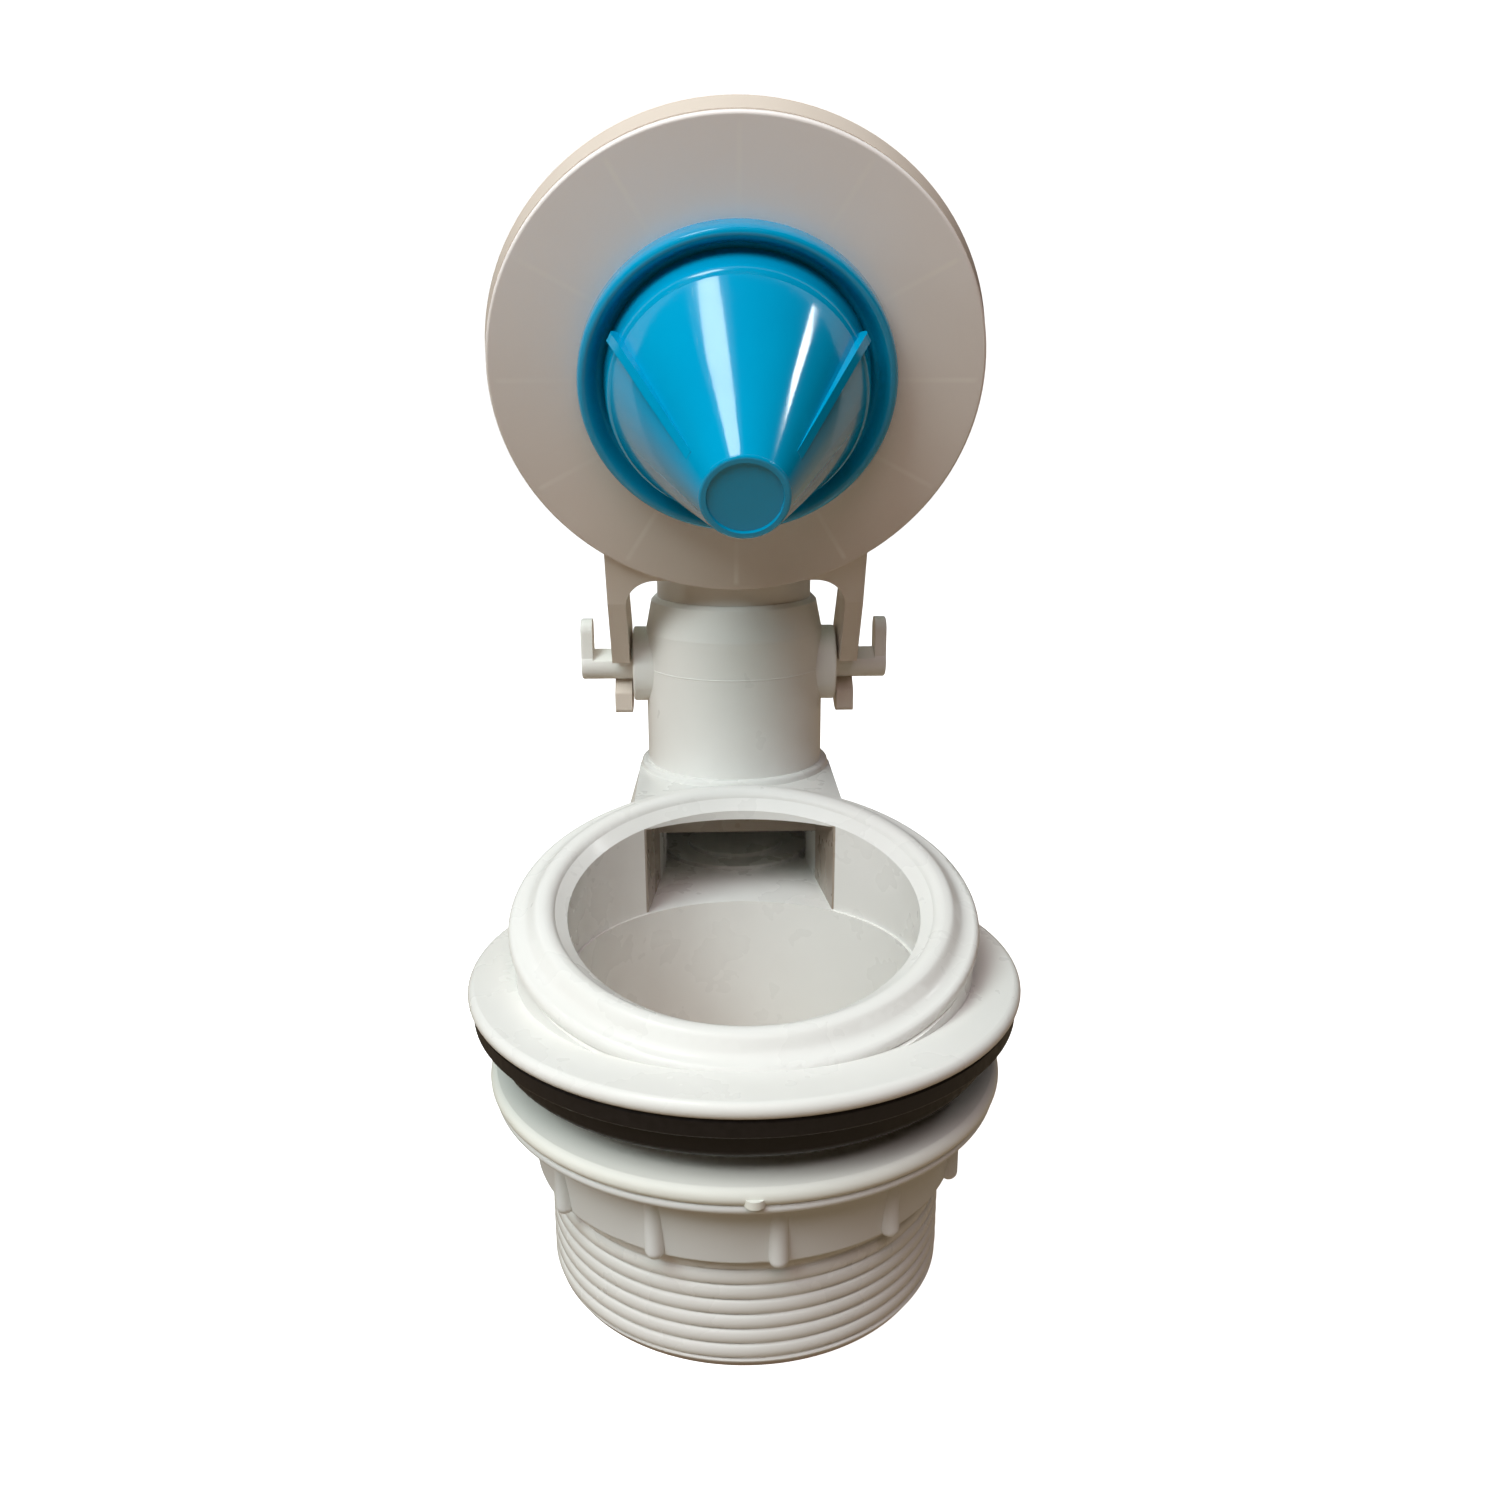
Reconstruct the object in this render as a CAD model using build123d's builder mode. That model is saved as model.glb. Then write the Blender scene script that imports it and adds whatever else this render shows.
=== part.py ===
from build123d import *
from math import cos, radians, sin
import os

# Toilet-tank flush valve with an open flapper, for a three-inch tank outlet.
#
# Frame: origin on the shank's axis at its bottom end, +Z up, +Y towards the overflow tube,
# +X to the right when the valve is seen from the seat side. Millimetres and degrees.

# ---------------------------------------------------------------- driving dimensions
run_gap = 0.3             # clearance between parts that only pass or rest on each other
fit_gap = 0.05            # radial clearance of a running or push fit

# threaded shank and mounting flange
thread_r = 40.0           # crest of the external thread
thread_pitch = 3.175      # eight turns to the inch
thread_depth = 0.45
thread_turns = 15
thread_start_z = 1.5
end_chamfer_r = 38.6      # outside radius of the chamfered bottom end
shank_bore_r = 34.6
bowl_bore_r = 35.2        # the bowl above the window sill is a little wider
flange_r = 54.5
flange_z = 60.6           # underside of the flange
flange_t = 3.2
flange_round = 1.4

# tilted seat ring, concentric with the shank; s is measured up from the seat plane
seat_z = 78.0             # height of the seat plane on the shank's axis
seat_tilt = 14.5          # the seat plane falls towards -Y
lip_r = 39.4              # crest of the sealing lip
lip_s = 0.7
groove_r = 42.9           # valley between the lip and the shoulder ring
groove_s = -1.7
shoulder_r = 46.4         # outside of the shoulder ring
shoulder_s = -2.3
shoulder_drop = 3.4       # thickness of the shoulder ring
shoulder_round = 1.5
throat_r = 34.9           # where the funnel meets the bore
throat_s = -2.6
wall_r = 45.2             # vertical wall that carries the ring down to the flange

# side chamber and tube socket
tube_y = 72.3             # axis of the overflow tube
duct_front_y = 28.0
duct_back_y = 60.0
duct_half_w = 20.4        # inside half width at duct_front_y
duct_back_half_w = 17.0   # inside half width at duct_back_y
duct_out_half_w = 23.4
duct_floor_z = 62.6
duct_roof_z = 82.2        # flat head of the window
duct_roof_end_y = 48.0    # the roof drops here to pass under the tube socket
chamber_roof_z = 74.6
chamber_r = 20.5
roof_top_z = 84.9
duct_start_y = 25.0       # the cut for the window starts inside the bowl
duct_box_y = 34.0
pad_r = 18.0              # stepped round pad on the chamber floor
pad_h = 0.9
pad_core_r = 11.8
pad_core_h = 1.0
socket_top_r = 23.0
socket_foot_r = 26.8
socket_top_z = 86.4
socket_round = 0.9
socket_foot_z = 72.5
socket_bore_r = 20.6
socket_ledge_z = 77.0

# hinge collar
collar_r = 21.3
collar_taper_z = 118.5
collar_top_z = 126.6
collar_top_r = 19.4
rim_chamfer = 0.9
collar_ledge_z = 89.5     # the overflow tube stands on this ledge
spigot_r = 20.25
spigot_bottom_z = 77.3
spigot_bore_r = 15.8
o_ring_wire_r = 1.23
o_ring_z = 81.4
o_groove_w = 3.2
o_groove_r = 18.1
seam_h = 0.12             # moulding seam round the collar, level with the pins
seam_w = 0.4

# overflow tube
tube_r = 18.4
tube_bore_r = 16.0
tube_top_z = 222.0
tube_edge = 0.8           # rounding of the tube's upper edges

# hinge
hinge_z = 109.9
boss_start_x = 12.0       # inside the collar's wall
boss_end_x = 24.3         # end face of the round hinge boss
boss_round = 0.5
hinge_boss_r = 9.0
pin_r = 3.7
pin_flat = 2.6            # distance of the pin's flat from its axis
pin_flat_angle = 65.0     # the flat faces up and forward, measured from level
pin_end_x = 36.9
pin_end_round = 0.6
finger_t = 2.8
finger_top_z = 121.0
finger_depth = 6.4

# gasket, friction washer and lock nut
gasket_r = 53.6
gasket_step_z = 57.0
gasket_foot_r = 49.6
gasket_bottom_z = 50.6
gasket_bore_r = thread_r + 0.4
washer_r = 51.1
washer_bottom_z = 42.5
washer_t = 3.1
washer_bore_r = thread_r + 0.6
gate_r = 1.9
gate_h = 1.5
nut_flange_r = 50.4
nut_flange_t = 2.1
nut_bottom_z = 24.9
nut_top_r = 44.6
nut_bottom_r = 42.75
nut_bore_r = thread_r + run_gap
nut_ribs = 12
nut_rib_r = 1.8
nut_rib_centre_r = 43.1
nut_rib_angle = 6.0       # first rib, measured from +X

# flapper: local frame at the middle of the seal's sealing face, z out of that face
open_angle = 80.0         # from closed to the stored open position
seal_r = 49.5
seal_t = 1.6
rim_r = 50.4
rim_wall = 2.4
cup_depth = 8.9           # from the sealing face to the back of the frame
plate_t = 2.0
hub_r = 27.5
hub_pocket_r = 18.0
rib_count = 12
rib_t = 1.5
spigot_hub_r = 22.0
spigot_hub_h = 6.0
spigot_web = 2.4          # end wall of the spigot, behind the float
notch_gap = 0.7           # clearance of the frame around the overflow tube
notch_wall = 1.6

# flapper arms
arm_in_x = 24.9
arm_out_x = 29.0
hook_bore_r = pin_r + fit_gap
hook_r = 9.4
hook_drop = 2.6           # the hook's outline is centred this far below the pin
mouth_high = 2.0          # upper edge of the mouth, above the pin's axis
mouth_low = 6.5           # lip of the lower jaw, below the pin's axis
jaw_front = 3.5           # front of the lower jaw, ahead of the pin's axis
jaw_round = 1.0
yoke_cut_half_w = 24.9
yoke_cut_y = -47.9
yoke_cut_round = 7.0
yoke_cut_w = 20.0
yoke_in_x = 14.0          # inner end of each half of the yoke web
yoke_root_y = -34.0
yoke_end_y = -54.0
yoke_t = 2.2
arm_foot_y = -46.0        # the foot of each arm runs along the back of the cup
arm_toe_y = -6.0
arm_foot_h = 4.2
arm_foot_slope = 2.0
arm_toe_h = 1.2
foot_overlap = 0.6
arm_back_front = -7.5     # where the arm's straight back leaves the hook, by the pin's axis
arm_back_up = 8.0

# chain eyelet on the back of the frame
eyelet_y = 37.0
eyelet_r = 5.0
eyelet_hole_r = 2.2
eyelet_t = 3.0
eyelet_reach = 7.5        # from the back of the frame to the hole

# float
bead_r = 31.6             # outside of the rolled rim
bead_s = 5.4              # height of the rolled rim
bead_root_r = 26.6        # where the dished rim meets the drum
bead_root_s = 1.6
cone_base_r = 25.8
cone_base_s = 9.2
tip_r = 8.1
tip_s = 47.4
float_wall = 2.0
tip_recess = 0.5
fin_angles = (27.0, 153.0, 270.0)
fin_t = 1.8
fin_out = 1.5             # how far a fin stands out at the cone's base
fin_end_s = 41.0

# ---------------------------------------------------------------- derived placement
tilt = radians(seat_tilt)
seat_normal = Vector(0, -sin(tilt), cos(tilt))
seat_plane = Plane(origin=(0, 0, seat_z), x_dir=(1, 0, 0), z_dir=seat_normal)
hinge_point = Vector(0, tube_y, hinge_z)
seal_rest_point = Vector(0, 0, seat_z) + seat_normal * (lip_s + run_gap)
hinge_height = (hinge_point - seal_rest_point).dot(seat_normal)
hinge_reach = (hinge_point - seal_rest_point).dot(Vector(0, cos(tilt), sin(tilt)))
lean = radians(90.0 - open_angle + seat_tilt)
flap_normal = Vector(0, -cos(lean), -sin(lean))
flap_up = Vector(0, -sin(lean), cos(lean))
flap_origin = hinge_point + flap_up * hinge_reach + flap_normal * hinge_height
flap = Plane(origin=flap_origin, x_dir=(1, 0, 0), z_dir=flap_normal)
sides = {"left": -1, "right": 1}

os.makedirs("parts", exist_ok=True)


def save(piece, name):
    """Label a finished piece and write its STEP file."""
    piece.part.label = name
    export_step(piece.part, f"parts/{name}.step")


# ---------------------------------------------------------------- valve body
flange_top_z = flange_z + flange_t
thread_root_r = thread_r - thread_depth
thread_end_z = thread_start_z + thread_turns * thread_pitch
ring_foot_s = shoulder_s - shoulder_drop
seat_axis = Axis(seat_plane.origin, seat_plane.z_dir)
seat_section = Plane(origin=seat_plane.origin, x_dir=(1, 0, 0), z_dir=-seat_plane.y_dir)
tube_section = Plane.XZ.offset(-tube_y)
tube_line = Axis((0, tube_y, 0), (0, 0, 1))


def duct_outline(end_y):
    """Inside outline of the side chamber from the bowl back to end_y, its walls converging."""
    taper = (duct_half_w - duct_back_half_w) / (duct_back_y - duct_front_y)
    start_half = duct_half_w + taper * (duct_front_y - duct_start_y)
    end_half = duct_half_w - taper * (end_y - duct_front_y)
    return [
        (-start_half, duct_start_y),
        (start_half, duct_start_y),
        (end_half, end_y),
        (-end_half, end_y),
    ]


with BuildPart() as valve_body:
    # wall that carries the ring, cut off parallel to the seat plane
    with BuildSketch(Plane.XY.offset(flange_z + 1)):
        Circle(wall_r)
    extrude(amount=seat_z - flange_z + wall_r * sin(tilt))
    split(bisect_by=seat_plane.offset(ring_foot_s + 1), keep=Keep.BOTTOM)
    # shank with rounded thread crests, and the flange
    with BuildSketch(Plane.XZ):
        with BuildLine():
            Polyline((0, 0), (end_chamfer_r, 0), (thread_root_r, thread_start_z))
            for turn in range(thread_turns):
                low_z = thread_start_z + turn * thread_pitch
                ThreePointArc(
                    (thread_root_r, low_z),
                    (thread_r, low_z + thread_pitch / 2),
                    (thread_root_r, low_z + thread_pitch),
                )
            Polyline(
                (thread_root_r, thread_end_z),
                (thread_root_r, flange_z),
                (flange_r - flange_round, flange_z),
            )
            ThreePointArc(
                (flange_r - flange_round, flange_z),
                (flange_r, flange_z + flange_t / 2),
                (flange_r - flange_round, flange_top_z),
            )
            Polyline((flange_r - flange_round, flange_top_z), (0, flange_top_z), (0, 0))
        make_face()
    revolve(axis=Axis.Z)
    # tilted ring: shoulder, valley and rounded lip
    with BuildSketch(seat_section):
        with BuildLine():
            Polyline(
                (0, ring_foot_s),
                (wall_r - 0.4, ring_foot_s),
                (shoulder_r, ring_foot_s + 1.3),
                (shoulder_r, shoulder_s - shoulder_round),
            )
            RadiusArc(
                (shoulder_r, shoulder_s - shoulder_round),
                (shoulder_r - shoulder_round, shoulder_s),
                -shoulder_round,
            )
            Spline(
                (shoulder_r - shoulder_round, shoulder_s),
                (groove_r, groove_s),
                (lip_r + 2.0, lip_s - 0.75),
                (lip_r, lip_s),
                tangents=((-1, 0.05), (-1, 0)),
            )
            ThreePointArc((lip_r, lip_s), (lip_r - 1.35, lip_s - 0.4), (lip_r - 2.2, lip_s - 1.4))
            Polyline((lip_r - 2.2, lip_s - 1.4), (throat_r, throat_s), (0, throat_s), (0, ring_foot_s))
        make_face()
    revolve(axis=seat_axis)
    # outside of the side chamber, and the tube socket with its rounded mouth
    with BuildSketch(Plane.XY.offset(flange_z)):
        with Locations((0, (duct_box_y + tube_y) / 2)):
            Rectangle(2 * duct_out_half_w, tube_y - duct_box_y)
    extrude(amount=roof_top_z - flange_z)
    with BuildSketch(tube_section):
        with BuildLine():
            Polyline(
                (0, flange_z),
                (socket_foot_r - 0.8, flange_z),
                (socket_foot_r, flange_z + 0.8),
                (socket_foot_r, socket_foot_z),
                (socket_top_r, socket_top_z - socket_round),
            )
            RadiusArc(
                (socket_top_r, socket_top_z - socket_round),
                (socket_top_r - socket_round, socket_top_z),
                -socket_round,
            )
            Polyline((socket_top_r - socket_round, socket_top_z), (0, socket_top_z), (0, flange_z))
        make_face()
    revolve(axis=tube_line)
    # funnel of the seat, bowl and shank bore
    with BuildSketch(seat_section):
        with BuildLine():
            Polyline(
                (0, throat_s),
                (throat_r, throat_s),
                (lip_r - 2.2, lip_s - 1.4),
                (lip_r - 2.2, lip_s + 20),
                (0, lip_s + 20),
                (0, throat_s),
            )
        make_face()
    revolve(axis=seat_axis, mode=Mode.SUBTRACT)
    with BuildSketch(Plane.XY.offset(duct_floor_z)):
        Circle(bowl_bore_r)
    with BuildSketch(seat_plane.offset(throat_s)):
        Circle(throat_r)
    loft(mode=Mode.SUBTRACT)
    with BuildSketch(Plane.XY):
        Circle(shank_bore_r)
    extrude(amount=duct_floor_z, mode=Mode.SUBTRACT)
    # side chamber: tall behind the window, lower where it passes under the socket
    with BuildSketch(Plane.XY.offset(duct_floor_z)):
        Polygon(*duct_outline(duct_roof_end_y), align=None)
    extrude(amount=duct_roof_z - duct_floor_z, mode=Mode.SUBTRACT)
    with BuildSketch(Plane.XY.offset(duct_floor_z)):
        Polygon(*duct_outline(tube_y - chamber_r / 2), align=None)
        with Locations((0, tube_y)):
            Circle(chamber_r)
    extrude(amount=chamber_roof_z - duct_floor_z, mode=Mode.SUBTRACT)
    with BuildSketch(Plane.XY.offset(duct_floor_z)):
        with Locations((0, tube_y)):
            Circle(spigot_bore_r)
    extrude(amount=socket_top_z - duct_floor_z, mode=Mode.SUBTRACT)
    with BuildSketch(Plane.XY.offset(socket_ledge_z)):
        with Locations((0, tube_y)):
            Circle(socket_bore_r)
    extrude(amount=socket_top_z - socket_ledge_z, mode=Mode.SUBTRACT)
    # stepped round pad on the chamber floor
    with BuildSketch(Plane.XY.offset(duct_floor_z - 0.5)):
        with Locations((0, tube_y)):
            Circle(pad_r)
    extrude(amount=pad_h + 0.5)
    with BuildSketch(Plane.XY.offset(duct_floor_z)):
        with Locations((0, tube_y)):
            Circle(pad_core_r)
    extrude(amount=pad_h + pad_core_h)
save(valve_body, "valve_body")

# ---------------------------------------------------------------- tank gasket
with BuildPart() as tank_gasket:
    with BuildSketch(Plane.XZ):
        with BuildLine():
            Line((gasket_bore_r, gasket_bottom_z), (gasket_foot_r - 1.6, gasket_bottom_z))
            ThreePointArc(
                (gasket_foot_r - 1.6, gasket_bottom_z),
                (gasket_foot_r - 0.45, gasket_bottom_z + 0.5),
                (gasket_foot_r, gasket_bottom_z + 1.8),
            )
            Polyline(
                (gasket_foot_r, gasket_bottom_z + 1.8),
                (gasket_foot_r + 0.3, gasket_step_z),
                (gasket_r - 0.6, gasket_step_z),
            )
            ThreePointArc(
                (gasket_r - 0.6, gasket_step_z),
                (gasket_r - 0.15, gasket_step_z + 0.2),
                (gasket_r, gasket_step_z + 0.7),
            )
            Polyline(
                (gasket_r, gasket_step_z + 0.7),
                (gasket_r, flange_z - 0.5),
                (gasket_r - 0.5, flange_z),
                (gasket_bore_r, flange_z),
                (gasket_bore_r, gasket_bottom_z),
            )
        make_face()
    revolve(axis=Axis.Z)
save(tank_gasket, "tank_gasket")

# ---------------------------------------------------------------- friction washer
washer_top_z = washer_bottom_z + washer_t
with BuildPart() as friction_washer:
    with BuildSketch(Plane.XZ):
        with BuildLine():
            Line((washer_bore_r, washer_bottom_z), (washer_r - 0.7, washer_bottom_z))
            ThreePointArc(
                (washer_r - 0.7, washer_bottom_z),
                (washer_r, washer_bottom_z + washer_t * 0.42),
                (washer_r - 1.3, washer_top_z),
            )
            Polyline(
                (washer_r - 1.3, washer_top_z),
                (washer_bore_r, washer_top_z),
                (washer_bore_r, washer_bottom_z),
            )
        make_face()
    revolve(axis=Axis.Z)
    # vestige of the moulding gate on the lower outer edge
    with Locations((0, -washer_r + 1.1, washer_bottom_z + gate_h / 2)):
        Cylinder(radius=gate_r, height=gate_h)
    with Locations((0, 0, washer_bottom_z + gate_h / 2)):
        Cylinder(radius=washer_bore_r, height=3 * gate_h, mode=Mode.SUBTRACT)
save(friction_washer, "friction_washer")

# ---------------------------------------------------------------- lock nut
nut_flange_z = washer_bottom_z - nut_flange_t
with BuildPart() as lock_nut:
    with BuildSketch(Plane.XZ):
        with BuildLine():
            Line((nut_bore_r + 0.5, nut_bottom_z), (nut_bottom_r - 0.8, nut_bottom_z))
            RadiusArc(
                (nut_bottom_r - 0.8, nut_bottom_z),
                (nut_bottom_r, nut_bottom_z + 0.8),
                -0.85,
            )
            Line((nut_bottom_r, nut_bottom_z + 0.8), (nut_top_r, nut_flange_z - 1.8))
            RadiusArc((nut_top_r, nut_flange_z - 1.8), (nut_top_r + 1.8, nut_flange_z), 2.1)
            Line((nut_top_r + 1.8, nut_flange_z), (nut_flange_r - 0.6, nut_flange_z))
            ThreePointArc(
                (nut_flange_r - 0.6, nut_flange_z),
                (nut_flange_r, nut_flange_z + nut_flange_t / 2),
                (nut_flange_r - 0.4, washer_bottom_z),
            )
            Polyline(
                (nut_flange_r - 0.4, washer_bottom_z),
                (nut_bore_r, washer_bottom_z),
                (nut_bore_r, nut_bottom_z + 0.5),
                (nut_bore_r + 0.5, nut_bottom_z),
            )
        make_face()
    revolve(axis=Axis.Z)
    # gripping ribs with round lower ends
    rib_h = nut_flange_z - nut_bottom_z - nut_rib_r + 0.8
    with PolarLocations(nut_rib_centre_r, nut_ribs, start_angle=nut_rib_angle):
        with Locations((0, 0, nut_bottom_z + nut_rib_r - 0.3)):
            Cylinder(nut_rib_r, rib_h, align=(Align.CENTER, Align.CENTER, Align.MIN))
            Sphere(nut_rib_r)
save(lock_nut, "lock_nut")

# ---------------------------------------------------------------- hinge collar
groove_low_z = o_ring_z - o_groove_w / 2
groove_high_z = o_ring_z + o_groove_w / 2
with BuildPart() as hinge_collar:
    with BuildSketch(tube_section):
        with BuildLine():
            Polyline(
                (0, spigot_bottom_z),
                (spigot_r - 0.6, spigot_bottom_z),
                (spigot_r, spigot_bottom_z + 0.6),
                (spigot_r, groove_low_z),
                (o_groove_r, groove_low_z),
                (o_groove_r, groove_high_z),
                (spigot_r, groove_high_z),
                (spigot_r, socket_top_z),
                (collar_r, socket_top_z),
                (collar_r, hinge_z - seam_w / 2),
                (collar_r + seam_h, hinge_z),
                (collar_r, hinge_z + seam_w / 2),
                (collar_r, collar_taper_z),
                (collar_top_r + rim_chamfer / 2, collar_top_z - rim_chamfer),
                (collar_top_r - rim_chamfer / 2, collar_top_z),
                (0, collar_top_z),
                (0, spigot_bottom_z),
            )
        make_face()
    revolve(axis=tube_line)
    # round hinge bosses with softened rims
    for side in sides.values():
        with BuildSketch(Plane.YZ.offset(side * boss_start_x)):
            with Locations((tube_y, hinge_z)):
                Circle(hinge_boss_r)
        extrude(amount=side * (boss_end_x - boss_start_x))
    boss_rims = hinge_collar.edges().filter_by(GeomType.CIRCLE).filter_by(
        lambda rim: abs(abs(rim.arc_center.X) - boss_end_x) < 0.01
    )
    fillet(boss_rims, radius=boss_round)
    # bore for the overflow tube, down to its ledge, and the waterway below
    with BuildSketch(Plane.XY.offset(collar_ledge_z)):
        with Locations((0, tube_y)):
            Circle(tube_r + fit_gap)
    extrude(amount=collar_top_z - collar_ledge_z, mode=Mode.SUBTRACT)
    with BuildSketch(Plane.XY.offset(spigot_bottom_z)):
        with Locations((0, tube_y)):
            Circle(spigot_bore_r)
    extrude(amount=collar_top_z - spigot_bottom_z, mode=Mode.SUBTRACT)
save(hinge_collar, "hinge_collar")

# ---------------------------------------------------------------- hinge pins
flat_mid = pin_flat + pin_r / 2
flat_turn = radians(pin_flat_angle)
flat_place = Location(
    (tube_y - flat_mid * cos(flat_turn), hinge_z + flat_mid * sin(flat_turn)), 180 - pin_flat_angle
)
finger_round_z = finger_top_z - finger_depth / 2
for side_name, side in sides.items():
    with BuildPart() as hinge_pin:
        with BuildSketch(Plane.YZ.offset(side * boss_end_x)):
            with Locations((tube_y, hinge_z)):
                Circle(pin_r)
            # flat on the upper front of the pin
            with Locations(flat_place):
                Rectangle(pin_r, 2 * pin_r, mode=Mode.SUBTRACT)
        extrude(amount=side * (pin_end_x - boss_end_x))
        # upturned finger at its end
        with BuildSketch(Plane.YZ.offset(side * (pin_end_x - finger_t))):
            with Locations((tube_y, (hinge_z + finger_round_z) / 2)):
                Rectangle(finger_depth, finger_round_z - hinge_z)
            with Locations((tube_y, finger_round_z)):
                Circle(finger_depth / 2)
            with Locations((tube_y, hinge_z)):
                Circle(pin_r)
        extrude(amount=side * finger_t)
        end_face = hinge_pin.faces().sort_by(Axis.X)[-1 if side > 0 else 0]
        fillet(end_face.edges(), radius=pin_end_round)
    save(hinge_pin, f"hinge_pin_{side_name}")

# ---------------------------------------------------------------- collar O-ring
with BuildPart() as collar_o_ring:
    with BuildSketch(tube_section):
        with Locations(((socket_bore_r + o_groove_r) / 2, o_ring_z)):
            Circle(o_ring_wire_r)
    revolve(axis=tube_line)
save(collar_o_ring, "collar_o_ring")

# ---------------------------------------------------------------- overflow tube
with BuildPart() as overflow_tube:
    with BuildSketch(tube_section):
        with BuildLine():
            Polyline(
                (tube_bore_r, collar_ledge_z),
                (tube_r - 0.5, collar_ledge_z),
                (tube_r, collar_ledge_z + 0.5),
                (tube_r, tube_top_z - tube_edge),
            )
            RadiusArc((tube_r, tube_top_z - tube_edge), (tube_r - tube_edge, tube_top_z), -tube_edge)
            Polyline((tube_r - tube_edge, tube_top_z), (tube_bore_r + tube_edge, tube_top_z))
            RadiusArc((tube_bore_r + tube_edge, tube_top_z), (tube_bore_r, tube_top_z - tube_edge), -tube_edge)
            Line((tube_bore_r, tube_top_z - tube_edge), (tube_bore_r, collar_ledge_z))
        make_face()
    revolve(axis=tube_line)
save(overflow_tube, "overflow_tube")

# ---------------------------------------------------------------- flapper frame
flap_section = Plane(origin=flap.origin, x_dir=(1, 0, 0), z_dir=-flap.y_dir)
flap_axis = Axis(flap.origin, flap.z_dir)
arm_section = Plane(origin=flap.origin, x_dir=flap.y_dir, z_dir=(1, 0, 0))


def by_pin(front, up):
    """Arm-section point that lies front of and above the hinge pin, as the flapper is stored."""
    along = front * sin(lean) + up * cos(lean)
    out = front * cos(lean) - up * sin(lean)
    return (along - hinge_reach, out - hinge_height)


# outside of the cup, from its back to the seal, and the wall that closes its notch for the tube
cup_outline = [
    (0, -cup_depth),
    (rim_r - 1.4, -cup_depth),
    (rim_r - 0.3, -cup_depth + 0.7),
    (rim_r, -cup_depth + 1.8),
    (seal_r + 0.1, -seal_t),
]
cup_face = make_face(Polyline(*cup_outline, (0, -seal_t), (0, -cup_depth)))
cup_solid = revolve(flap_section * cup_face, flap_axis)
notch_plane = Plane(origin=(0, tube_y, collar_top_z))
notch_column = extrude(notch_plane * Circle(tube_r + notch_gap + notch_wall), tube_top_z - collar_top_z)
notch_solid = notch_column & cup_solid

with BuildPart() as flapper_frame:
    # ring-shaped cup round the hub, open towards the seal
    with BuildSketch(flap_section):
        with BuildLine():
            Polyline(
                (hub_r, -cup_depth),
                *cup_outline[1:],
                (rim_r - rim_wall, -seal_t),
                (rim_r - rim_wall, plate_t - cup_depth),
                (hub_r, plate_t - cup_depth),
                (hub_r, -cup_depth),
            )
        make_face()
    revolve(axis=flap_axis)
    # radial ribs that back the seal
    with BuildSketch(flap.offset(plate_t - cup_depth - 0.5)):
        with PolarLocations((hub_r + rim_r - rim_wall) / 2, rib_count):
            Rectangle(rim_r - rim_wall - hub_r + 1, rib_t)
    extrude(amount=cup_depth - plate_t - seal_t + 0.5)
    # the hub is a piece of its own
    with BuildSketch(flap.offset(-cup_depth)):
        Circle(hub_r)
    extrude(amount=cup_depth, mode=Mode.SUBTRACT)
    # notch for the overflow tube, with its wall
    add(notch_solid)
    with BuildSketch(notch_plane):
        Circle(tube_r + notch_gap)
    extrude(amount=tube_top_z - collar_top_z, mode=Mode.SUBTRACT)
save(flapper_frame, "flapper_frame")

# ---------------------------------------------------------------- flapper hub
with BuildPart() as flapper_hub:
    # hub, and the spigot that carries the float
    with BuildSketch(flap_section):
        with BuildLine():
            Polyline(
                (hub_pocket_r, -cup_depth),
                (hub_r, -cup_depth),
                (hub_r, -seal_t),
                (spigot_hub_r, -seal_t),
                (spigot_hub_r, spigot_hub_h),
                (0, spigot_hub_h),
                (0, spigot_hub_h - spigot_web),
                (hub_pocket_r, spigot_hub_h - spigot_web),
                (hub_pocket_r, -cup_depth),
            )
        make_face()
    revolve(axis=flap_axis)
save(flapper_hub, "flapper_hub")

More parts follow.
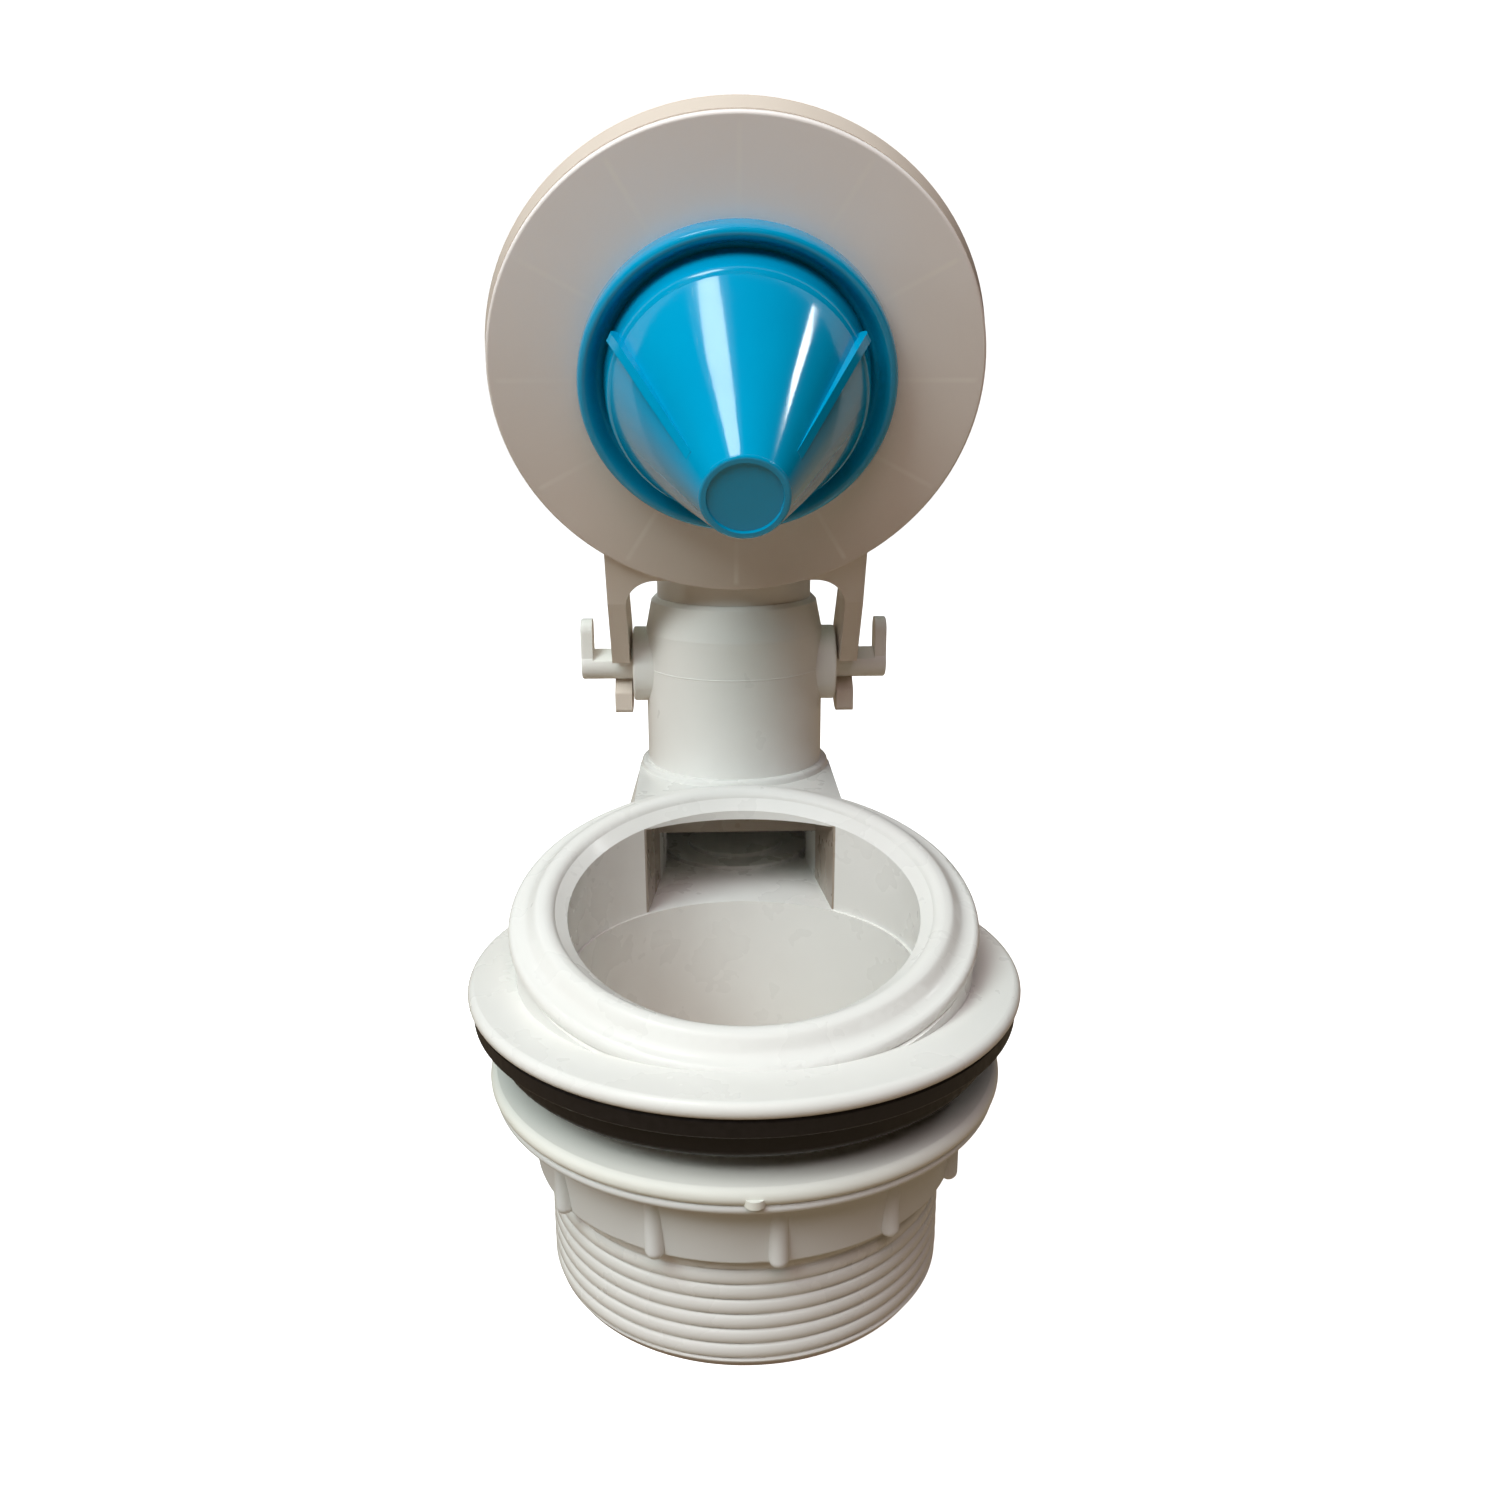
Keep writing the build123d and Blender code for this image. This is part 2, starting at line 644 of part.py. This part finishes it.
# ---------------------------------------------------------------- flapper arms
for side_name, side in sides.items():
    with BuildPart() as flapper_arm:
        # half of the yoke web, with its part of the round-cornered arch
        with BuildSketch(flap.offset(-seal_t - yoke_t)):
            with Locations((side * (yoke_in_x + arm_out_x) / 2, (yoke_end_y + yoke_root_y) / 2)):
                Rectangle(arm_out_x - yoke_in_x, yoke_root_y - yoke_end_y)
            with Locations((0, yoke_cut_y - yoke_cut_w / 2)):
                RectangleRounded(2 * yoke_cut_half_w, yoke_cut_w, yoke_cut_round, mode=Mode.SUBTRACT)
        extrude(amount=yoke_t)
        # deep plate that ends in a snap hook round the pin, and its foot along the back of the cup
        with BuildSketch(arm_section.offset(side * arm_in_x)):
            with BuildLine():
                Polyline(
                    (yoke_root_y, -seal_t),
                    (yoke_end_y, -seal_t),
                    by_pin(hook_r, mouth_high),
                    by_pin(0, mouth_high),
                    by_pin(-hook_r, -hook_drop),
                    by_pin(arm_back_front, arm_back_up),
                    (arm_foot_y, -cup_depth - arm_foot_h),
                    (arm_toe_y - arm_foot_slope, -cup_depth - arm_toe_h),
                    (arm_toe_y, -cup_depth + foot_overlap),
                    (yoke_root_y, -cup_depth + foot_overlap),
                    (yoke_root_y, -seal_t),
                )
            make_face()
            with Locations(by_pin(0, -hook_drop)):
                Circle(hook_r)
        extrude(amount=side * (arm_out_x - arm_in_x))
        # pin bore and the mouth of the snap hook
        with BuildSketch(arm_section.offset(side * (arm_in_x - 1))):
            with Locations(by_pin(0, 0)):
                Circle(hook_bore_r)
            with BuildLine():
                Polyline(
                    by_pin(0, mouth_high),
                    by_pin(2 * hook_r, mouth_high),
                    by_pin(2 * hook_r, -2 * hook_r),
                    by_pin(jaw_front, -2 * hook_r),
                    by_pin(jaw_front, -mouth_low),
                    by_pin(0, -pin_r - fit_gap),
                    by_pin(0, mouth_high),
                )
            make_face()
        extrude(amount=side * (arm_out_x - arm_in_x + 2), mode=Mode.SUBTRACT)
        # rounded corners on the front of the lower jaw
        jaw_edges = flapper_arm.edges().filter_by(Axis.X).filter_by(
            lambda edge: abs(edge.center().Y - tube_y + jaw_front) < 0.01 and edge.center().Z < hinge_z
        )
        fillet(jaw_edges, radius=jaw_round)
        # the arm starts at the outside of the cup
        add(cup_solid, mode=Mode.SUBTRACT)
    save(flapper_arm, f"flapper_arm_{side_name}")

# ---------------------------------------------------------------- chain eyelet
with BuildPart() as chain_eyelet:
    with BuildSketch(arm_section.offset(-eyelet_t / 2)):
        with Locations((eyelet_y, -cup_depth - eyelet_reach)):
            Circle(eyelet_r)
        with Locations((eyelet_y, -cup_depth - eyelet_reach / 2)):
            Rectangle(2 * eyelet_r, eyelet_reach)
        with Locations((eyelet_y, -cup_depth - eyelet_reach)):
            Circle(eyelet_hole_r, mode=Mode.SUBTRACT)
    extrude(amount=eyelet_t)
save(chain_eyelet, "chain_eyelet")

# ---------------------------------------------------------------- flapper seal
with BuildPart() as flapper_seal:
    with BuildSketch(flap_section):
        with BuildLine():
            Polyline((spigot_hub_r + fit_gap, -seal_t), (seal_r - 0.3, -seal_t), (seal_r, -seal_t + 0.5))
            Line((seal_r, -seal_t + 0.5), (seal_r, -0.6))
            RadiusArc((seal_r, -0.6), (seal_r - 0.6, 0), -0.6)
            Polyline((seal_r - 0.6, 0), (spigot_hub_r + fit_gap, 0), (spigot_hub_r + fit_gap, -seal_t))
        make_face()
    revolve(axis=flap_axis)
save(flapper_seal, "flapper_seal")

# ---------------------------------------------------------------- flapper float
with BuildPart() as flapper_float:
    with BuildSketch(flap_section):
        with BuildLine():
            Polyline((spigot_hub_r + fit_gap, 0), (bead_r - 0.9, 0), (bead_r, 1.0), (bead_r, bead_s - 2.0))
            Spline(
                (bead_r, bead_s - 2.0),
                (bead_r - 1.7, bead_s),
                (bead_root_r + 1.2, bead_root_s + 1.0),
                (bead_root_r, bead_root_s),
                tangents=((0, 1), (-0.8, -1)),
            )
            Line((bead_root_r, bead_root_s), (cone_base_r, cone_base_s - 1.6))
            ThreePointArc(
                (cone_base_r, cone_base_s - 1.6),
                (cone_base_r - 0.35, cone_base_s - 0.35),
                (cone_base_r - 1.1, cone_base_s + 0.7),
            )
            Line((cone_base_r - 1.1, cone_base_s + 0.7), (tip_r, tip_s - 0.6))
            RadiusArc((tip_r, tip_s - 0.6), (tip_r - 0.6, tip_s), -0.6)
            Polyline(
                (tip_r - 0.6, tip_s),
                (tip_r - 1.3, tip_s),
                (tip_r - 1.5, tip_s - tip_recess),
                (0, tip_s - tip_recess),
                (0, tip_s - tip_recess - float_wall),
                (tip_r - 2.6, tip_s - tip_recess - float_wall),
                (cone_base_r - 3.4, cone_base_s + 0.2),
                (spigot_hub_r + fit_gap, spigot_hub_h + 1.0),
                (spigot_hub_r + fit_gap, 0),
            )
        make_face()
    revolve(axis=flap_axis)
    # guide fins: proud at the cone's base, run out before the tip
    cone_fall = (cone_base_r - 1.1 - tip_r) / (tip_s - 0.6 - cone_base_s - 0.7)
    fin_end_r = tip_r + cone_fall * (tip_s - 0.6 - fin_end_s)
    for angle in fin_angles:
        radial = flap.x_dir * cos(radians(angle)) + flap.y_dir * sin(radians(angle))
        fin_plane = Plane(origin=flap.origin, x_dir=radial, z_dir=radial.cross(flap.z_dir))
        with BuildSketch(fin_plane):
            with BuildLine():
                Polyline(
                    (cone_base_r - 2.2, cone_base_s - 2.2),
                    (cone_base_r + fin_out - 0.8, cone_base_s - 2.2),
                )
                RadiusArc(
                    (cone_base_r + fin_out - 0.8, cone_base_s - 2.2),
                    (cone_base_r + fin_out - 0.2, cone_base_s + 0.1),
                    -1.4,
                )
                Polyline(
                    (cone_base_r + fin_out - 0.2, cone_base_s + 0.1),
                    (fin_end_r + 0.05, fin_end_s),
                    (fin_end_r - 1.2, fin_end_s),
                    (cone_base_r - 2.2, cone_base_s - 2.2),
                )
            make_face()
        extrude(amount=fin_t / 2, both=True)
save(flapper_float, "flapper_float")
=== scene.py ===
# Looks of the flush valve: materials, the cut thread, studio and camera.
# Everything is in metres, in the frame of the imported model: origin on the shank's axis at its
# bottom end, +Z up, +Y towards the overflow tube.

from math import cos, pi, radians, sin

import bmesh
import bpy
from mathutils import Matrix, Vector


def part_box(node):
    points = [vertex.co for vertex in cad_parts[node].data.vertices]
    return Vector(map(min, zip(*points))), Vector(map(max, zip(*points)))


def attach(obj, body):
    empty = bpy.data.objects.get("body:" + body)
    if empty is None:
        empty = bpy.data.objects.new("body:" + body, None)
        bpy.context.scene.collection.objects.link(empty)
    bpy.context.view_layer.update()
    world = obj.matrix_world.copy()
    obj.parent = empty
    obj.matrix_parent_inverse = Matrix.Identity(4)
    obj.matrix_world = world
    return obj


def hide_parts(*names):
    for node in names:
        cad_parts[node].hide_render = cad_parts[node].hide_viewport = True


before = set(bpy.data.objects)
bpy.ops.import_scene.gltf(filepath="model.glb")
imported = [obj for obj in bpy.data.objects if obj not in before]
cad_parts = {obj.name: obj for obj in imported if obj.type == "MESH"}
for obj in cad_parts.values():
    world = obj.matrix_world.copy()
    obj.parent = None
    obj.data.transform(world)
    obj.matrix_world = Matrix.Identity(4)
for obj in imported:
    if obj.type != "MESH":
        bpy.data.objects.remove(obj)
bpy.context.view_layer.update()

MM = 0.001
noise_roughness = 0.55          # how strongly the finer octaves of every noise count

# ------------------------------------------------------------------ places read from the frame
seal_low, seal_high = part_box("flapper_seal")
seal_centre = (seal_low + seal_high) / 2
seal_r = (seal_high.x - seal_low.x) / 2
seal_tilt = radians(24.5)       # the open flapper leans forward
seal_ribs = 12                  # ribs of the flapper's frame, behind the seal

# the water passage under the seat, from the bowl back to the overflow socket
passage_front_y = 28.0 * MM
passage_back_y = 60.0 * MM
passage_front_half_w = 20.4 * MM
passage_back_half_w = 17.0 * MM
passage_start_y = 25.0 * MM
passage_end_y = 48.0 * MM
passage_floor_z = 62.6 * MM
passage_roof_z = 82.2 * MM


# ------------------------------------------------------------------ material helpers
def link(tree, source, target):
    tree.links.new(source, target)


def node(tree, kind, **settings):
    """A shader node with its settings."""
    made = tree.nodes.new(kind)
    for key, value in settings.items():
        setattr(made, key, value)
    return made


def noise(tree, place, scale, detail):
    """Fractal noise at a place, 0 to 1; scale is in features per metre."""
    made = node(tree, "ShaderNodeTexNoise")
    made.inputs["Scale"].default_value = scale
    made.inputs["Detail"].default_value = detail
    made.inputs["Roughness"].default_value = noise_roughness
    link(tree, place, made.inputs["Vector"])
    return made.outputs["Fac"]


def remap(tree, value, low, high, to_low, to_high):
    made = node(tree, "ShaderNodeMapRange")
    made.inputs["From Min"].default_value = low
    made.inputs["From Max"].default_value = high
    made.inputs["To Min"].default_value = to_low
    made.inputs["To Max"].default_value = to_high
    link(tree, value, made.inputs["Value"])
    return made.outputs["Result"]


def mix_colour(tree, factor, first, second):
    """first where factor is 0, second where it is 1; each a colour or a socket."""
    made = node(tree, "ShaderNodeMix", data_type="RGBA")
    link(tree, factor, made.inputs[0])
    for slot, colour in ((6, first), (7, second)):
        if isinstance(colour, tuple):
            made.inputs[slot].default_value = (*colour, 1.0)
        else:
            link(tree, colour, made.inputs[slot])
    return made.outputs[2]


def math(tree, operation, first, second=None):
    made = node(tree, "ShaderNodeMath", operation=operation)
    for slot, value in ((0, first), (1, second)):
        if value is None:
            continue
        if isinstance(value, (int, float)):
            made.inputs[slot].default_value = value
        else:
            link(tree, value, made.inputs[slot])
    return made.outputs[0]


def new_material(name):
    """An empty Principled material: (material, tree, shader, object coordinates)."""
    material = bpy.data.materials.new(name)
    material.use_nodes = True
    tree = material.node_tree
    tree.nodes.clear()
    shader = node(tree, "ShaderNodeBsdfPrincipled")
    out = node(tree, "ShaderNodeOutputMaterial")
    link(tree, shader.outputs[0], out.inputs[0])
    place = node(tree, "ShaderNodeTexCoord").outputs["Object"]
    return material, tree, shader, place


def add_bump(tree, shader, height, distance, strength):
    bump = node(tree, "ShaderNodeBump")
    bump.inputs["Distance"].default_value = distance
    bump.inputs["Strength"].default_value = strength
    link(tree, height, bump.inputs["Height"])
    link(tree, bump.outputs[0], shader.inputs["Normal"])


# ------------------------------------------------------------------ materials
def moulded_plastic(name, pale, deep, rough, coat=0.0):
    """White moulded plastic: cloudy colour, fine pitting, uneven gloss."""
    material, tree, shader, place = new_material(name)
    cloud = remap(tree, noise(tree, place, 28.0, 3.0), 0.32, 0.68, 0.0, 1.0)
    link(tree, mix_colour(tree, cloud, pale, deep), shader.inputs["Base Color"])
    link(tree, remap(tree, noise(tree, place, 90.0, 3.0), 0.3, 0.7, rough - 0.03, rough + 0.04),
         shader.inputs["Roughness"])
    add_bump(tree, shader, noise(tree, place, 420.0, 2.0), 0.00003, 0.25)
    shader.inputs["IOR"].default_value = 1.49
    shader.inputs["Coat Weight"].default_value = coat
    shader.inputs["Coat Roughness"].default_value = 0.1
    return material


def body_plastic(name, pale, deep, rough):
    """The body's white, tinted darker on the passage walls and the bottom edge.

    The tint stands in for deep shade, and isn't a colour of the real plastic.
    """
    material = moulded_plastic(name, pale, deep, rough, coat=0.15)
    tree = material.node_tree
    shader = next(made for made in tree.nodes if made.type == "BSDF_PRINCIPLED")
    plain = shader.inputs["Base Color"].links[0].from_socket
    place = node(tree, "ShaderNodeTexCoord").outputs["Object"]
    parts = node(tree, "ShaderNodeSeparateXYZ")
    link(tree, place, parts.inputs[0])
    side, back, up = parts.outputs
    half_w = remap(tree, back, passage_front_y, passage_back_y, passage_front_half_w, passage_back_half_w)
    past_wall = math(tree, "SUBTRACT", math(tree, "ABSOLUTE", side), half_w)
    wall = remap(tree, past_wall, -1.2 * MM, -0.3 * MM, 0.0, 1.0)
    wall = math(tree, "MULTIPLY", wall, math(tree, "LESS_THAN", past_wall, 0.4 * MM))
    end = remap(tree, back, passage_end_y - 1.5 * MM, passage_end_y - 0.3 * MM, 0.0, 1.0)
    inside = math(tree, "MULTIPLY", math(tree, "GREATER_THAN", up, passage_floor_z + 0.2 * MM),
                  math(tree, "LESS_THAN", up, passage_roof_z + 0.3 * MM))
    inside = math(tree, "MULTIPLY", inside, math(tree, "GREATER_THAN", back, passage_start_y))
    inside = math(tree, "MULTIPLY", inside, math(tree, "LESS_THAN", back, passage_end_y + 0.4 * MM))
    shade = math(tree, "MULTIPLY", math(tree, "MAXIMUM", wall, end), inside)
    shade = math(tree, "MULTIPLY", shade, remap(tree, noise(tree, place, 60.0, 3.0), 0.3, 0.7, 0.85, 1.0))
    shaded = mix_colour(tree, shade, plain, (0.33, 0.26, 0.20))
    edge = remap(tree, up, 0.9 * MM, 1.9 * MM, 0.7, 0.0)
    link(tree, mix_colour(tree, edge, shaded, (0.26, 0.15, 0.11)), shader.inputs["Base Color"])
    return material


def blue_plastic():
    """Glossy blue: faint flow clouds, a few hairline scuffs and dulled patches."""
    material, tree, shader, place = new_material("blue_plastic")
    cloud = remap(tree, noise(tree, place, 45.0, 4.0), 0.3, 0.7, 0.0, 1.0)
    link(tree, mix_colour(tree, cloud, (0.0, 0.32, 0.56), (0.0, 0.295, 0.525)), shader.inputs["Base Color"])
    dull = noise(tree, place, 90.0, 3.0)
    link(tree, remap(tree, dull, 0.35, 0.75, 0.10, 0.16), shader.inputs["Roughness"])
    stretch = node(tree, "ShaderNodeMapping")
    stretch.inputs["Scale"].default_value = (1.0, 0.12, 0.12)
    link(tree, place, stretch.inputs["Vector"])
    scuff = remap(tree, noise(tree, stretch.outputs[0], 1500.0, 1.0), 0.72, 0.78, 0.0, 1.0)
    peel = noise(tree, place, 180.0, 2.0)
    add_bump(tree, shader, math(tree, "SUBTRACT", peel, math(tree, "MULTIPLY", scuff, 0.3)), 0.00005, 0.35)
    shader.inputs["IOR"].default_value = 1.5
    shader.inputs["Coat Weight"].default_value = 0.6
    shader.inputs["Coat Roughness"].default_value = 0.06
    return material


def black_rubber():
    """Matt black rubber with moulded grain and a few specks of pale dust."""
    material, tree, shader, place = new_material("black_rubber")
    grain = noise(tree, place, 700.0, 4.0)
    worn = remap(tree, grain, 0.35, 0.7, 0.0, 1.0)
    base = mix_colour(tree, worn, (0.006, 0.005, 0.005), (0.016, 0.013, 0.012))
    cells = node(tree, "ShaderNodeTexVoronoi")
    cells.inputs["Scale"].default_value = 150.0
    link(tree, place, cells.inputs["Vector"])
    speck = remap(tree, cells.outputs["Distance"], 0.035, 0.05, 1.0, 0.0)
    patchy = remap(tree, noise(tree, place, 60.0, 2.0), 0.52, 0.6, 0.0, 1.0)
    dust = math(tree, "MULTIPLY", speck, patchy)
    link(tree, mix_colour(tree, dust, base, (0.25, 0.22, 0.2)), shader.inputs["Base Color"])
    link(tree, remap(tree, grain, 0.3, 0.7, 0.42, 0.6), shader.inputs["Roughness"])
    add_bump(tree, shader, grain, 0.00008, 0.6)
    return material


def silicone():
    """Frosted silicone: cloudy, with painted shade that darkens and browns it towards the hinge, the ribs
    behind it drawn as faint lines.
    """
    material, tree, shader, place = new_material("silicone")
    local = node(tree, "ShaderNodeMapping", vector_type="TEXTURE")
    local.inputs["Location"].default_value = seal_centre
    local.inputs["Rotation"].default_value = (pi / 2 + seal_tilt, 0, 0)
    link(tree, place, local.inputs["Vector"])
    parts = node(tree, "ShaderNodeSeparateXYZ")
    link(tree, local.outputs[0], parts.inputs[0])
    across, along = parts.outputs[0], parts.outputs[1]
    angle = math(tree, "ARCTAN2", across, along)
    radius = math(tree, "SQRT", math(tree, "ADD", math(tree, "MULTIPLY", across, across),
                                     math(tree, "MULTIPLY", along, along)))
    # distance from the nearest rib, in metres
    sector = math(tree, "PINGPONG", math(tree, "ABSOLUTE", angle), pi / seal_ribs)
    gap = math(tree, "MULTIPLY", sector, radius)
    rib = remap(tree, gap, 0.2 * MM, 0.75 * MM, 1.0, 0.0)
    outward = remap(tree, radius, 0.6 * seal_r, 0.93 * seal_r, 0.15, 1.0)
    rib = math(tree, "MULTIPLY", rib, outward)
    rib = math(tree, "MULTIPLY", rib, remap(tree, radius, 0.955 * seal_r, 0.975 * seal_r, 1.0, 0.0))
    rib = math(tree, "MULTIPLY", rib, remap(tree, noise(tree, place, 55.0, 1.0), 0.35, 0.65, 0.25, 0.75))
    # painted shade: the seal's colour goes darker and browner towards its hinge end
    height = remap(tree, along, -seal_r, 0.5 * seal_r, 0.0, 1.0)
    base = mix_colour(tree, height, (0.64, 0.54, 0.46), (0.93, 0.885, 0.86))
    cloud = remap(tree, noise(tree, place, 26.0, 2.0), 0.3, 0.7, 0.0, 0.2)
    base = mix_colour(tree, cloud, base, (0.80, 0.72, 0.66))
    link(tree, mix_colour(tree, math(tree, "MULTIPLY", rib, 0.7), base, (0.97, 0.93, 0.86)),
         shader.inputs["Base Color"])
    grain = noise(tree, place, 1400.0, 3.0)
    link(tree, remap(tree, grain, 0.3, 0.7, 0.42, 0.52), shader.inputs["Roughness"])
    add_bump(tree, shader, grain, 0.00004, 0.4)
    shader.inputs["IOR"].default_value = 1.41
    shader.inputs["Sheen Weight"].default_value = 0.25
    return material


body_white = body_plastic("body_plastic", (0.835, 0.825, 0.785), (0.81, 0.80, 0.755), 0.28)
collar_white = moulded_plastic("collar_plastic", (0.87, 0.86, 0.82), (0.84, 0.825, 0.78), 0.30, coat=0.1)
tube_white = moulded_plastic("tube_plastic", (0.78, 0.75, 0.70), (0.745, 0.71, 0.66), 0.42)
frame_cream = moulded_plastic("frame_plastic", (0.71, 0.62, 0.535), (0.68, 0.585, 0.50), 0.36)
nut_white = moulded_plastic("nut_plastic", (0.82, 0.83, 0.81), (0.79, 0.795, 0.77), 0.45)
natural_white = moulded_plastic("natural_plastic", (0.85, 0.85, 0.77), (0.82, 0.82, 0.74), 0.34)
blue = blue_plastic()
rubber = black_rubber()
frosted = silicone()

finishes = {
    "valve_body": body_white,
    "tank_gasket": rubber,
    "friction_washer": natural_white,
    "lock_nut": nut_white,
    "hinge_collar": collar_white,
    "hinge_pin_left": collar_white,
    "hinge_pin_right": collar_white,
    "collar_o_ring": rubber,
    "overflow_tube": tube_white,
    "flapper_frame": frame_cream,
    "flapper_hub": frame_cream,
    "flapper_arm_left": frame_cream,
    "flapper_arm_right": frame_cream,
    "chain_eyelet": frame_cream,
    "flapper_seal": frosted,
    "flapper_float": blue,
}
for name, finish in finishes.items():
    cad_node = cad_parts[name]
    for place in cad_node.material_slots:
        place.material = finish


# ------------------------------------------------------------------ valve body with its cut thread
thread_pitch = 3.175 * MM
thread_crest_r = 40.0 * MM
thread_root_r = 39.55 * MM
thread_top_z = 49.125 * MM
end_r = 38.6 * MM
chamfer_slope = 0.95 / 1.5
cut_extra = 0.35 * MM           # the valley is a little deeper at its very bottom
thread_steps_round = 240
thread_steps_up = 170
thread_reach_in = 0.2 * MM      # faces of the old rings start this far inside end_r


def thread_radius(turn, z):
    """Radius of the right-hand thread at a turn (0 to 1 round the shank) and height."""
    phase = (z / thread_pitch - turn) % 1.0
    off_crest = abs(2 * phase - 1)
    cut = (thread_crest_r - thread_root_r) * off_crest ** 2 + cut_extra * off_crest ** 10
    run_out = min(1.0, (thread_top_z - z) / thread_pitch)
    return min(thread_crest_r - cut * run_out - (1 - run_out) * (thread_crest_r - thread_root_r),
               end_r + chamfer_slope * z)


def threaded_body():
    """A copy of the valve body whose thread rings are exchanged for a helical thread."""
    mesh = bpy.data.meshes.new("threaded_body")
    work = bmesh.new()
    work.from_mesh(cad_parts["valve_body"].data)

    def in_thread(vertex):
        reach = (vertex.co.x ** 2 + vertex.co.y ** 2) ** 0.5
        return reach > end_r - thread_reach_in and vertex.co.z < thread_top_z + 0.01 * MM

    doomed = [face for face in work.faces if all(in_thread(vertex) for vertex in face.verts)]
    bmesh.ops.delete(work, geom=doomed, context="FACES")
    rows = []
    for level in range(thread_steps_up + 1):
        z = thread_top_z * level / thread_steps_up
        row = []
        for step in range(thread_steps_round):
            turn = step / thread_steps_round
            reach = thread_radius(turn, z)
            row.append(work.verts.new((reach * cos(2 * pi * turn), reach * sin(2 * pi * turn), z)))
        rows.append(row)
    for low, high in zip(rows, rows[1:]):
        for step in range(thread_steps_round):
            after = (step + 1) % thread_steps_round
            face = work.faces.new((low[step], low[after], high[after], high[step]))
            face.smooth = True
    work.to_mesh(mesh)
    work.free()
    return bpy.data.objects.new("threaded_body", mesh)


body = threaded_body()
bpy.context.scene.collection.objects.link(body)
body.data.materials.clear()
body.data.materials.append(body_white)
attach(body, "valve")
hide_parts("valve_body")

# ------------------------------------------------------------------ studio
middle = Vector((0, 0.02, 0.11))
soft_size = (0.6, 0.6)
soft_distance = 1.2
panel_way = (-0.29, -0.128, 0.9475)


def studio_light(name, way, distance, size, strength, mirrored):
    """A lamp seen from the object along way; strength is its watts in red, green and blue."""
    power = max(strength)
    data = bpy.data.lights.new(name, "AREA")
    data.shape = "RECTANGLE"
    data.size, data.size_y = size
    data.energy = power
    data.color = [part / power for part in strength]
    lamp = bpy.data.objects.new(name, data)
    bpy.context.scene.collection.objects.link(lamp)
    lamp.location = middle + distance * Vector(way)
    lamp.rotation_euler = (middle - lamp.location).to_track_quat("-Z", "Y").to_euler()
    lamp.visible_glossy = mirrored


studio_light("soft_front", (0, -0.6, 0.8), soft_distance, soft_size, (5.4, 4.5, 4.7), False)
studio_light("soft_front_left", (-0.45, -0.5, 0.72), soft_distance, soft_size, (9.6, 11.0, 11.2), False)
studio_light("soft_left", (-0.95, -0.1, 0.3), soft_distance, soft_size, (1.9, 1.6, 1.6), False)
studio_light("soft_back", (0, 0.35, 0.94), soft_distance, soft_size, (1.0, 1.2, 0.9), False)
studio_light("ceiling_panel", panel_way, 1.1, (0.3, 0.3), (1.7, 1.8, 1.7), True)
studio_light("panel_halo", panel_way, 1.15, (0.5, 0.5), (0.22, 0.24, 0.23), True)
studio_light("right_window", (0.715, 0.11, 0.69), 1.2, (0.09, 0.11), (0.5, 0.52, 0.52), True)

# the room is dark above the horizon and brown below it
world = bpy.data.worlds.new("room")
bpy.context.scene.world = world
world.use_nodes = True
tree = world.node_tree
tree.nodes.clear()
direction = node(tree, "ShaderNodeTexCoord").outputs["Generated"]
split = node(tree, "ShaderNodeSeparateXYZ")
link(tree, direction, split.inputs[0])
below = remap(tree, split.outputs[2], -0.15, 0.15, 1.0, 0.0)
room = node(tree, "ShaderNodeBackground")
link(tree, mix_colour(tree, below, (0.0, 0.0, 0.0), (0.28, 0.21, 0.137)), room.inputs[0])
out = node(tree, "ShaderNodeOutputWorld")
link(tree, room.outputs[0], out.inputs[0])


def sweep_floor():
    """Pale floor that curves up into a backdrop behind the object."""
    reach, back, bend, top, half_w = 3.0, 2.2, 0.8, 2.6, 4.0
    bend_steps = 12
    profile = [(-reach, 0.0), (back, 0.0)]
    for step in range(1, bend_steps + 1):
        turn = step / bend_steps * pi / 2
        profile.append((back + bend * sin(turn), bend - bend * cos(turn)))
    profile.append((back + bend, top))
    work = bmesh.new()
    rows = [[work.verts.new((x, y, z)) for x in (-half_w, half_w)] for y, z in profile]
    for low, high in zip(rows, rows[1:]):
        face = work.faces.new((low[0], low[1], high[1], high[0]))
        face.smooth = True
    mesh = bpy.data.meshes.new("floor")
    work.to_mesh(mesh)
    work.free()
    return bpy.data.objects.new("floor", mesh)


floor = sweep_floor()
bpy.context.scene.collection.objects.link(floor)
paper, tree, shader, place = new_material("paper")      # self-lit, so that the background is pure white
shader.inputs["Base Color"].default_value = (0.93, 0.93, 0.93, 1)
shader.inputs["Roughness"].default_value = 0.9
shader.inputs["Emission Color"].default_value = (1, 1, 1, 1)
shader.inputs["Emission Strength"].default_value = 1.0
floor.data.materials.append(paper)
floor.visible_diffuse = False
floor.visible_glossy = False
floor.visible_shadow = False

# ------------------------------------------------------------------ camera
# degrees: how far the camera looks down, and its roll and turn
camera_down = 15.92
camera_roll = 0.08
camera_turn = -2.37
camera = bpy.data.objects.new("camera", bpy.data.cameras.new("camera"))
bpy.context.scene.collection.objects.link(camera)
camera.location = (-0.00747, -0.23958, 0.17503)
camera.rotation_euler = (radians(90 - camera_down), radians(camera_roll), radians(camera_turn))
camera.data.sensor_width = 36.0
camera.data.lens = 30.952
camera.data.clip_start = 0.01
bpy.context.scene.camera = camera
bpy.context.scene.view_settings.view_transform = "Standard"
